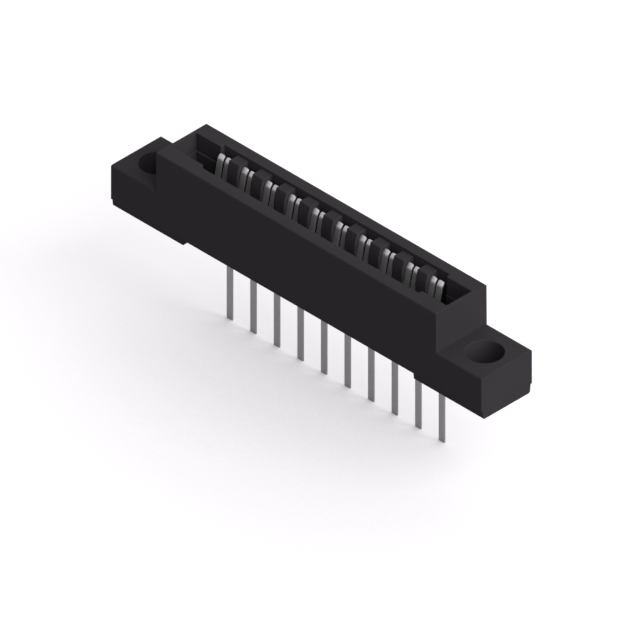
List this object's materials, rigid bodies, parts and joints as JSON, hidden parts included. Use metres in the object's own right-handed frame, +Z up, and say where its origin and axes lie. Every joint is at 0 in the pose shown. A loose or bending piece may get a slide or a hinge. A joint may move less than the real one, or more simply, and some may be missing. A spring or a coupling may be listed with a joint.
{
  "type": "card edge connector",
  "caption": "Board-mounted card edge connector: a black moulded insulator with a screw hole in each end flange and one row of split spring contacts with long straight tails.",
  "frame": {"origin": "centre of the line between the two screw holes, in the plane under the feet, which is the face of the board", "axes": "+X along the row of contacts, +Y from the middle of the card to the row of contacts, +Z up out of the board, the way the card leaves the slot"},
  "size_m": [0.0624, 0.0086, 0.0247],
  "materials": {
    "moulding": "black glass-filled polyester, fine moulded satin",
    "contact_metal": "copper alloy strip under grey tin plate"
  },
  "bodies": {
    "root": {"insulator": "moulding", "contact_01": "contact_metal", "contact_02": "contact_metal", "contact_03": "contact_metal", "contact_04": "contact_metal", "contact_05": "contact_metal", "contact_06": "contact_metal", "contact_07": "contact_metal", "contact_08": "contact_metal", "contact_09": "contact_metal", "contact_10": "contact_metal"}
  },
  "joints": []
}
